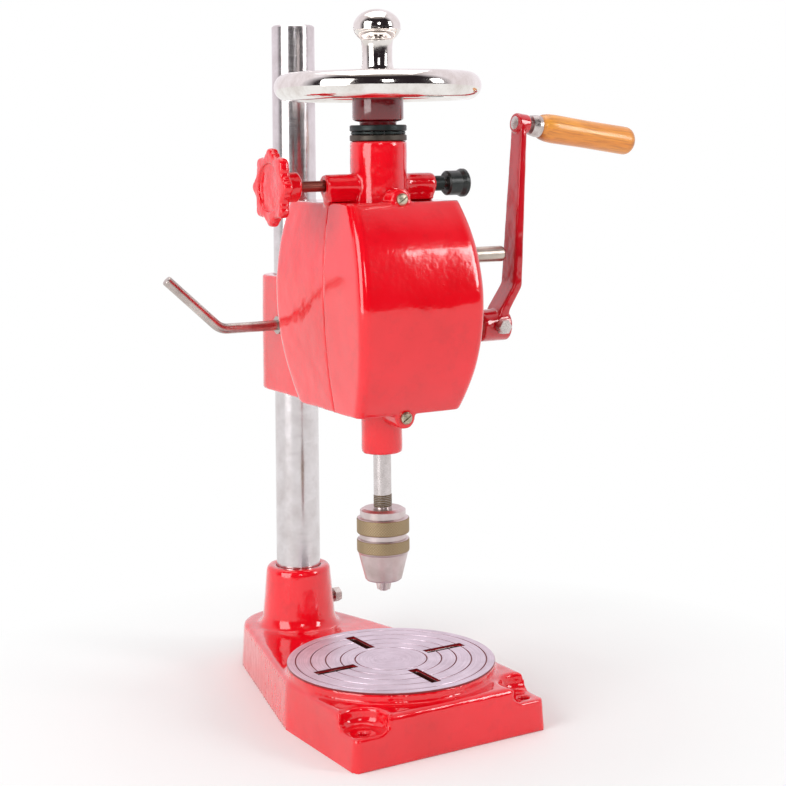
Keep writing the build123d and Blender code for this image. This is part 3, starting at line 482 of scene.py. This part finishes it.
def machinedTable():
    v = tableValues
    outline = [(0, v["top"] - v["thickness"]), (v["radius"] - 0.05, v["top"] - v["thickness"])]
    outline += [(v["radius"] - 0.05, v["top"] - v["edge"]), (v["radius"] - v["edge"], v["top"])]
    for ring in reversed(v["rings"]):
        half = v["ringWidth"] / 2
        outline += [(ring + half, v["top"]), (ring + half / 2, v["top"] - v["ringDepth"])]
        outline += [(ring - half / 2, v["top"] - v["ringDepth"]), (ring - half, v["top"])]
    outline.append((0, v["top"]))
    bm = spunShape(outline, 160)
    table = finishPiece("machinedTable", bm, "base", tableMaterial(), 25)
    cutters = []
    for turn in range(4):
        cutter = bmesh.new()
        bmesh.ops.create_cube(cutter, size=1)
        sized = Matrix.Diagonal((v["slotLength"] * mm, v["slotWidth"] * mm, 0.02, 1))
        moved = Matrix.Translation((v["slotCentre"] * mm, 0, v["top"] * mm))
        turned = Matrix.Rotation(turn * math.pi / 2, 4, "Z")
        bmesh.ops.transform(cutter, matrix=turned @ moved @ sized, verts=cutter.verts)
        mesh = bpy.data.meshes.new("slotCutter")
        cutter.to_mesh(mesh)
        cutters.append(bpy.data.objects.new("slotCutter", mesh))
        bpy.context.scene.collection.objects.link(cutters[-1])
        cut = table.modifiers.new("slot", "BOOLEAN")
        cut.object = cutters[-1]
        cut.solver = "EXACT"
    bpy.context.view_layer.update()
    evaluated = table.evaluated_get(bpy.context.evaluated_depsgraph_get())
    cutMesh = bpy.data.meshes.new_from_object(evaluated)
    table.modifiers.clear()
    table.data = cutMesh
    table.data.set_sharp_from_angle(angle=math.radians(25))
    for cutter in cutters:
        bpy.data.objects.remove(cutter)


machinedTable()


# ---- castings
castingValues = {
    "base": {"voxel": 1.35, "rounds": 5, "lumps": [(34, 0.3), (9, 0.14), (4, 0.05)]},
    "housing": {"voxel": 1.35, "rounds": 5, "lumps": [(42, 0.35), (11, 0.16), (4, 0.05)]},
    "cover": {"voxel": 1.0, "rounds": 6, "lumps": [(42, 0.35), (16, 0.12)]},
    "handwheel": {"voxel": 0.55, "rounds": 5, "lumps": [(9, 0.5), (3, 0.12)]},
    "arm": {"voxel": 0.6, "rounds": 3, "lumps": [(14, 0.2), (4, 0.05)]},
}


def castPiece(name, node, body, material, values, hold=None, openings=()):
    bm = softCopy(node, values["voxel"], values["rounds"], hold)
    lump(bm, values["lumps"], hold=hold)
    for centre, radius, reach, low, high in openings:
        openBore(bm, centre, radius, reach, low, high)
    piece = finishPiece(name, bm, body, material, 80)
    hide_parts(node)
    print(name, len(piece.data.polygons), "faces")
    return piece


def onHead(point):
    return headPlace.inverted() @ point


seamValues = {"half": 1.6, "top": 374.0}


def nearSeam(co):
    return abs(onHead(co).y) < seamValues["half"] * mm and co.z < seamValues["top"] * mm


def baseHold(co):
    # the machined top is another piece, and the underside stays flat
    return co.z < 0.8 * mm


# bores: axis, radius, reach of the push (mm), lowest and highest place (m)
socketBore = (columnAxis, 17.8, 19.5, 0.0135, 0.2)
sleeveBore = (columnAxis, 17.8, 19.5, 0.1, 0.4)
baseCasting = castPiece(
    "baseCasting", "base_casting", "base", baseEnamelWithHollowShade, castingValues["base"], baseHold, [socketBore]
)
tableSeat = {"radius": 75.4, "top": 39.9}  # the enamelled casting stops here, under the machined table
for vert in baseCasting.data.vertices:
    inside = Vector((vert.co.x, vert.co.y)).length < tableSeat["radius"] * mm
    if inside and vert.co.z > tableSeat["top"] * mm:
        vert.co.z = tableSeat["top"] * mm
upperBoss = (spindleAxis, 10.05, 12.0, 0.3, 0.43)
gearHousing = castPiece(
    "gearHousing", "gear_housing", "head", redEnamel, castingValues["housing"], nearSeam,
    [sleeveBore, upperBoss],
)
frontCover = castPiece("frontCover", "front_cover", "head", redEnamel, castingValues["cover"], nearSeam)
lockWheel = castPiece("lockWheel", "lock_handwheel", "lock_handwheel", redEnamel, castingValues["handwheel"])
crankArm = castPiece("crankArm", "crank_arm", "crank", armEnamel, castingValues["arm"])
print("castings softened")


# ---- turned pieces
def middle(node):
    low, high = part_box(node)
    return (low + high) / 2


def turnedPiece(name, node, body, material, points, steps=128, sharp=35):
    # points are (radius, height) about the node's own upright axis
    bm = spunShape(points, steps)
    centre = middle(node)
    bmesh.ops.translate(bm, verts=bm.verts, vec=(centre.x, centre.y, 0))
    piece = finishPiece(name, bm, body, material, sharp)
    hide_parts(node)
    return piece


wheelValues = {
    "rim": 76.8,
    "rimRadius": 10.5,
    "rimHeight": 10.3,
    "rimZ": 460.5,
    "hub": 19.0,
    "foot": 453.5,
    "boss": 468.0,
    "bore": 6.55,
}


def chromeWheel():
    v = wheelValues
    centre = v["rim"] - v["rimRadius"]
    outline = [(v["bore"], v["foot"]), (v["hub"] + 3, v["foot"]), (v["hub"] + 8, v["foot"] + 1.8)]
    outline += [(centre - 14, v["rimZ"] - 5), (centre - 10.2, v["rimZ"] - 5.2)]
    outline += arcPoints(centre, v["rimZ"], v["rimRadius"], v["rimHeight"], 212, 512, 48)
    outline += [(centre - 10.6, v["rimZ"] + 4.4), (centre - 14, v["rimZ"] + 4)]
    outline += [(v["hub"] + 10, v["rimZ"] + 0.6), (v["hub"] + 2, v["boss"] - 1.2), (v["hub"] - 1, v["boss"])]
    outline += [(v["bore"], v["boss"]), (v["bore"], v["foot"])]
    turnedPiece("chromeWheel", "flywheel", "spindle", chrome, outline, 192, 40)


knobValues = {
    "ball": 17.6,
    "half": 13.2,
    "ballZ": 505.0,
    "neck": 11.1,
    "foot": 14.4,
    "footZ": 468.35,
    "ridge": 0.45,
}


def chromeKnob():
    v = knobValues
    outline = [(6.9, v["footZ"]), (v["foot"] - 0.5, v["footZ"]), (v["foot"], v["footZ"] + 0.6)]
    outline += [(v["foot"] - 0.3, v["footZ"] + 2.6), (v["neck"] + 1.3, v["footZ"] + 5)]
    outline += [(v["neck"] + 0.3, v["footZ"] + 8.5), (v["neck"], v["footZ"] + 14)]
    outline += [(v["neck"] + 0.2, v["footZ"] + 22), (v["neck"] + 0.7, v["footZ"] + 26)]
    ball = arcPoints(0, v["ballZ"], v["ball"], v["half"], -46, 90, 40)
    # the two halves of the ball meet in a fine raised line just under its widest place
    seam = [point for point in ball if point[1] < v["ballZ"] - 2.6]
    seamZ = v["ballZ"] - 2.2
    lip = v["ball"] + v["ridge"]
    seam += [(v["ball"] - 0.15, seamZ - 0.35), (lip, seamZ - 0.2)]
    seam += [(lip, seamZ + 0.2), (v["ball"] - 0.1, seamZ + 0.35)]
    outline += seam + [point for point in ball if point[1] > v["ballZ"] - 1.6]
    turnedPiece("chromeKnob", "ball_knob", "ball_knob", chrome, outline, 96, 40)


def uprightPieces():
    column = [(0, 12.1), (17.5, 12.1), (17.5, 514.2), (16.1, 515.5)]
    column += [(4.6, 515.5), (2.1, 512.2), (2.0, 509.6), (0, 508.6)]
    turnedPiece("steelColumn", "column", "column", columnSteel, column, 128, 20)
    hub = [(6.52, 428.5), (12.4, 428.5), (12.4, 432.1), (13.5, 432.1), (13.9, 434.4), (17.6, 435.2)]
    hub += [(18.7, 436.0), (19.0, 437.2), (19.0, 453.3), (6.52, 453.3), (6.52, 428.5)]
    # the hub gets the darker red enamel: painted shade under the wheel
    turnedPiece("wheelHub", "wheel_hub", "spindle", shadedHubEnamel, hub, 96)
    for name, node, body, foot, material in (
        ("lowerRace", "thrust_lower_race", "head", 420.3, lowerRaceSteel),
        ("upperRace", "thrust_upper_race", "thrust_race", 427.5, raceSteel),
    ):
        race = [(12.5, foot), (20.4, foot), (21.1, foot + 0.7), (21.1, foot + 3.9)]
        race += [(20.4, foot + 4.6), (12.5, foot + 4.6), (12.5, foot)]
        turnedPiece(name, node, body, material, race, 96)


chromeWheel()
chromeKnob()
uprightPieces()
print("turned pieces ready")


# ---- chuck: knurls and thread stand on the CAD pieces
knurlValues = {
    "radius": 19.0,
    "rise": 0.32,
    "columns": 58,
    "bands": {"upperKnurl": ("spindle", 134.5, 144.8), "lowerKnurl": ("chuck_sleeve", 121.2, 129.7)},
}


def knurlMaterial():
    material, tree, shader, place = newMaterial("knurledSteel", {"Metallic": 0.85})
    height = tree.nodes.new("ShaderNodeAttribute")
    height.attribute_name = "rise"
    crest = rangeOf(tree, height.outputs["Fac"], 0.25, 0.9)
    dirt = mixColour(tree, noiseOf(tree, place, 160.0, 4.0), (0.16, 0.1, 0.035, 1), (0.3, 0.2, 0.09, 1))
    tree.links.new(mixColour(tree, crest, dirt, (0.56, 0.45, 0.31, 1)), shader.inputs["Base Color"])
    tree.links.new(rangeOf(tree, crest, 0, 1, 0.6, 0.34), shader.inputs["Roughness"])
    return material


def knurlBand(name, body, low, high, material):
    v = knurlValues
    rows = 30
    steps = v["columns"] * 8
    inner = v["radius"] - 0.4
    heights = [low + (high - low) * row / rows for row in range(rows + 1)]
    bm = spunShape([(inner, low)] + [(v["radius"], z) for z in heights] + [(inner, high)], steps)
    riseLayer = bm.verts.layers.float.new("rise")
    for vert in bm.verts:
        radius = Vector((vert.co.x, vert.co.y)).length
        if radius < (v["radius"] - 0.1) * mm:
            continue
        angle = math.atan2(vert.co.y, vert.co.x)
        along = (vert.co.z / mm) / v["radius"]
        waves = [abs(math.sin((angle + side * along) * v["columns"] / 2)) for side in (-1, 1)]
        edge = min(1, (vert.co.z / mm - low) / 0.5, (high - vert.co.z / mm) / 0.5)
        vert[riseLayer] = min(waves) * edge
        grown = 1 + vert[riseLayer] * v["rise"] * mm / radius
        vert.co.x *= grown
        vert.co.y *= grown
    bmesh.ops.translate(bm, verts=bm.verts, vec=(spindleAxis.x, spindleAxis.y, 0))
    piece = finishPiece(name, bm, body, material, 60)


threadValues = {"root": 6.45, "crest": 6.75, "pitch": 1.25, "low": 152.2, "turns": 7}


def spindleThread():
    # the dirty thread above the chuck, as a ridge round the spindle
    v = threadValues
    material, tree, shader, place = newMaterial("dirtyThread", {"Metallic": 0.6})
    grease = noiseOf(tree, place, 300.0, 4.0)
    colour = mixColour(tree, grease, (0.05, 0.03, 0.012, 1), (0.24, 0.17, 0.09, 1))
    tree.links.new(colour, shader.inputs["Base Color"])
    tree.links.new(rangeOf(tree, grease, 0.3, 0.7, 0.35, 0.6), shader.inputs["Roughness"])
    bm = bmesh.new()
    half = v["pitch"] * 0.46
    flanks = ((v["root"], 0), (v["crest"], 0.6), (v["crest"], 1.4), (v["root"], 2))
    ridge = chain(bm, [(radius, v["low"] + half * share) for radius, share in flanks])
    steps = 48 * v["turns"]
    bmesh.ops.spin(
        bm, geom=ridge, cent=(0, 0, 0), axis=(0, 0, 1), angle=2 * math.pi * v["turns"], steps=steps,
        dvec=(0, 0, v["pitch"] * v["turns"] * mm / steps),
    )
    bmesh.ops.holes_fill(bm, edges=bm.edges, sides=0)
    bmesh.ops.recalc_face_normals(bm, faces=bm.faces)
    bmesh.ops.translate(bm, verts=bm.verts, vec=(spindleAxis.x, spindleAxis.y, 0))
    piece = finishPiece("spindleThread", bm, "spindle", material, 40)


knurledSteel = knurlMaterial()
for name, (body, low, high) in knurlValues["bands"].items():
    knurlBand(name, body, low, high, knurledSteel)
spindleThread()
print("chuck detail ready")


# ---- wooden grip
gripValues = {
    "radius": 11.3,
    "end": 8.4,
    "length": 90.0,
    "start": 17.5,
    "bore": 4.1,
    "wornEnd": 9.0,
    "pivot": (124.5, 432.6),
    "droop": 8.2,
}


def woodMaterial(place4):
    material, tree, shader, place = newMaterial("varnishedWood", {"Coat Weight": 0.5, "Coat Roughness": 0.15})
    local = localPlace(tree, place, tuple(place4.translation), tuple(place4.to_euler()))
    stretch = addNode(tree, "ShaderNodeMapping")
    stretch.inputs["Scale"].default_value = (1, 1, 0.07)
    tree.links.new(local, stretch.inputs["Vector"])
    grain = noiseOf(tree, stretch.outputs[0], 700.0, 5.0, 0.6)
    figure = noiseOf(tree, stretch.outputs[0], 130.0, 2.0)
    blotch = noiseOf(tree, local, 60.0, 4.0, 0.6)
    streaks = rangeOf(tree, figure, 0.35, 0.65)
    colour = mixColour(tree, streaks, (0.86, 0.36, 0.045, 1), (0.72, 0.24, 0.025, 1))
    colour = mixColour(tree, rangeOf(tree, grain, 0.45, 0.7, 0, 0.7), colour, (0.4, 0.12, 0.02, 1))
    split = tree.nodes.new("ShaderNodeSeparateXYZ")
    tree.links.new(local, split.inputs[0])
    along = split.outputs["Z"]
    foot, worn = gripValues["start"], gripValues["wornEnd"]
    tip = foot + gripValues["length"]
    ends = [
        rangeOf(tree, along, foot * mm, (foot + worn) * mm, 1, 0),
        rangeOf(tree, along, (tip - worn) * mm, tip * mm, 0, 1),
    ]
    dark = mathNode(tree, "MULTIPLY", mathNode(tree, "ADD", *ends), rangeOf(tree, blotch, 0.4, 0.6), True)
    colour = mixColour(tree, dark, colour, (0.33, 0.09, 0.02, 1))
    tree.links.new(colour, shader.inputs["Base Color"])
    tree.links.new(rangeOf(tree, grain, 0.3, 0.7, 0.28, 0.5), shader.inputs["Roughness"])
    bumpInto(tree, shader, grain, 0.00012)
    return material


def woodenGrip():
    v = gripValues
    start, end = v["start"], v["start"] + v["length"]
    outline = [(v["bore"], start + 0.1), (v["end"] - 0.6, start + 0.1), (v["end"] + 0.3, start + 0.8)]
    outline += [(v["radius"] - 1.3, start + 3.5), (v["radius"] - 0.3, start + 8), (v["radius"], start + 14)]
    outline += [(v["radius"] - 0.35, start + 45), (v["radius"] - 0.1, end - 14)]
    outline += arcPoints(v["radius"] - 7.2, end - 7, 7.1, 6.8, 0, 90, 12)
    outline += [(0, end - 0.1)]
    outline += [(0, end - 9.5), (v["bore"], end - 9.5), (v["bore"], start + 0.1)]
    bm = spunShape(outline, 72)
    tilt = Matrix.Rotation(math.pi / 2 + math.radians(v["droop"]), 4, "Y")
    pivot = Matrix.Translation((v["pivot"][0] * mm, 0, v["pivot"][1] * mm))
    place = headPlace @ pivot @ tilt
    bmesh.ops.transform(bm, matrix=place, verts=bm.verts)
    piece = finishPiece("woodenGrip", bm, "handle_grip", woodMaterial(place), 40)
    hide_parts("handle_grip")


woodenGrip()
print("grip ready")


# ---- finishes of the CAD pieces that stay
finishes = {
    "column_lock_bolt": boltSteel,
    "cover_screws": screwSteel,
    "upper_spindle_bush": bushBronze,
    "lower_spindle_bush": bushBronze,
    "crank_shaft_bush": bushBronze,
    "speed_shaft_bush": bushBronze,
    "thrust_cage": raceSteel,
    "thrust_balls": raceSteel,
    "clamp_washer": leverSteel,
    "clamp_lever": leverSteel,
    "spindle": spindleSteel,
    "spindle_key": spindleSteel,
    "bevel_pinion": gearIron,
    "bevel_gear": gearIron,
    "speed_shaft": shaftSteel,
    "speed_pinion": gearIron,
    "speed_shaft_pins": boltSteel,
    "speed_shaft_collar": shaftSteel,
    "crank_shaft": shaftSteel,
    "crank_gear": gearIron,
    "crank_gear_pin": boltSteel,
    "crank_shaft_collar": shaftSteel,
    "crank_set_screw": boltSteel,
    "handle_pin": boltSteel,
    "handle_ferrule": boltSteel,
    "wheel_grub_screw": boltSteel,
    "knob_stud": boltSteel,
    "chuck_body": chuckSteel,
    "chuck_sleeve": chuckSteel,
    "chuck_ring": chuckSteel,
    "chuck_jaw_1": chuckSteel,
    "chuck_jaw_2": chuckSteel,
    "chuck_jaw_3": chuckSteel,
    "lock_screw": stainedRod,
    "brake_shoe": bushBronze,
    "plunger_pin": boltSteel,
    "plunger_spring": boltSteel,
    "plunger_bush": raceSteel,
    "plunger_knob": blackPlastic,
}
for name, material in finishes.items():
    nodes[name].data.materials.clear()
    nodes[name].data.materials.append(material)
for name, node in nodes.items():
    if name not in finishes and not node.hide_render:
        raise RuntimeError("no finish for " + name)


# ---- floor, light and camera
studioValues = {
    "ambient": 0.5,
    "floor": 0.9,
    "fade": (0.2, 0.4),
    "paper": (1, 0.94, 0.99, 1),
    "gloom": (0.025, 0.018, 0.022, 1),
    "ceiling": (0.5, 0.45, 0.42, 1),
    "viewer": (-0.51, -0.86),  # from the drill towards the camera, where the room is dim
    "lamps": {
        "leftWindow": {"place": (-2.3, -0.5, 1.0), "size": (1.5, 2.0), "power": 40},
        "frontWindow": {"place": (-0.9, -2.6, 1.35), "size": (0.5, 0.9), "power": 9},
        "rightWindow": {"place": (1.7, -2.1, 1.2), "size": (0.6, 1.2), "power": 22},
        "topPanel": {"place": (0.1, 0.3, 2.4), "size": (1.8, 1.8), "power": 18},
    },
    "aim": (0, 0.03, 0.28),
}


def paleFloor():
    bm = bmesh.new()
    bmesh.ops.create_grid(bm, x_segments=1, y_segments=1, size=6)
    mesh = bpy.data.meshes.new("paleFloor")
    bm.to_mesh(mesh)
    bm.free()
    floor = bpy.data.objects.new("paleFloor", mesh)
    bpy.context.scene.collection.objects.link(floor)
    material = bpy.data.materials.new("paleFloor")
    material.use_nodes = True
    tree = material.node_tree
    shader = tree.nodes["Principled BSDF"]
    shade = studioValues["floor"]
    setSockets(shader, {"Base Color": (shade, shade, shade, 1), "Roughness": 0.7, "Specular IOR Level": 0.2})
    # far off, the floor fades into the white background
    place = tree.nodes.new("ShaderNodeTexCoord").outputs["Object"]
    length = tree.nodes.new("ShaderNodeVectorMath")
    length.operation = "LENGTH"
    tree.links.new(place, length.inputs[0])
    fade = rangeOf(tree, length.outputs["Value"], *studioValues["fade"])
    rays = tree.nodes.new("ShaderNodeLightPath")
    seen = mathNode(tree, "MAXIMUM", rays.outputs["Is Glossy Ray"], rays.outputs["Is Transmission Ray"])
    seen = mathNode(tree, "MAXIMUM", seen, rays.outputs["Is Camera Ray"])
    white = addNode(tree, "ShaderNodeEmission", Strength=1.0)
    mix = tree.nodes.new("ShaderNodeMixShader")
    tree.links.new(mathNode(tree, "MULTIPLY", fade, seen), mix.inputs[0])
    tree.links.new(shader.outputs[0], mix.inputs[1])
    tree.links.new(white.outputs[0], mix.inputs[2])
    tree.links.new(mix.outputs[0], tree.nodes["Material Output"].inputs["Surface"])
    mesh.materials.append(material)


def studioWorld():
    world = bpy.data.worlds.new("studio")
    bpy.context.scene.world = world
    world.use_nodes = True
    tree = world.node_tree
    tree.nodes.clear()
    output = tree.nodes.new("ShaderNodeOutputWorld")
    rays = tree.nodes.new("ShaderNodeLightPath")
    direction = tree.nodes.new("ShaderNodeTexCoord").outputs["Generated"]
    split = tree.nodes.new("ShaderNodeSeparateXYZ")
    tree.links.new(direction, split.inputs[0])
    # gloss sees the white backdrop, a grey ceiling and the dim room behind the camera
    viewX, viewY = studioValues["viewer"]
    x, y, z = split.outputs
    sideways = mathNode(tree, "MULTIPLY", x, viewX)
    towards = mathNode(tree, "ADD", sideways, mathNode(tree, "MULTIPLY", y, viewY))
    room = mixColour(tree, rangeOf(tree, towards, -0.05, 0.3), studioValues["paper"], studioValues["gloom"])
    room = mixColour(tree, rangeOf(tree, z, 0.8, 0.98), room, studioValues["ceiling"])
    glossy = mathNode(tree, "MAXIMUM", rays.outputs["Is Glossy Ray"], rays.outputs["Is Transmission Ray"])
    ambient = studioValues["ambient"]
    seen = mixColour(tree, glossy, (ambient, ambient, ambient, 1), room)
    seen = mixColour(tree, rays.outputs["Is Camera Ray"], seen, (1, 1, 1, 1))
    background = tree.nodes.new("ShaderNodeBackground")
    tree.links.new(seen, background.inputs["Color"])
    tree.links.new(background.outputs[0], output.inputs["Surface"])


def studioLamps():
    for name, values in studioValues["lamps"].items():
        lamp = bpy.data.lights.new(name, "AREA")
        lamp.shape = "RECTANGLE"
        lamp.size, lamp.size_y = values["size"]
        lamp.energy = values["power"]
        holder = bpy.data.objects.new(name, lamp)
        bpy.context.scene.collection.objects.link(holder)
        holder.location = values["place"]
        towards = Vector(studioValues["aim"]) - holder.location
        holder.rotation_euler = towards.to_track_quat("-Z", "Y").to_euler()


cameraValues = {
    "place": (-0.6203, -1.04771, 0.41876),
    "yaw": 30.949,
    "pitch": 2.107,
    "roll": -0.728,
    "lens": 75.22,
    "shiftY": -0.39507,
}


def photoCamera():
    v = cameraValues
    data = bpy.data.cameras.new("camera")
    data.sensor_width = 36
    data.sensor_fit = "HORIZONTAL"
    data.lens = v["lens"]
    data.shift_y = v["shiftY"]
    data.clip_end = 50
    camera = bpy.data.objects.new("camera", data)
    bpy.context.scene.collection.objects.link(camera)
    yaw, pitch, roll = (math.radians(v[key]) for key in ("yaw", "pitch", "roll"))
    turn = Matrix.Rotation(-yaw, 4, "Z") @ Matrix.Rotation(math.pi / 2 + pitch, 4, "X")
    turn = turn @ Matrix.Rotation(roll, 4, "Z")
    camera.matrix_world = Matrix.Translation(v["place"]) @ turn
    bpy.context.scene.camera = camera


paleFloor()
studioWorld()
studioLamps()
photoCamera()
bpy.context.scene.view_settings.view_transform = "Standard"
print("studio ready")
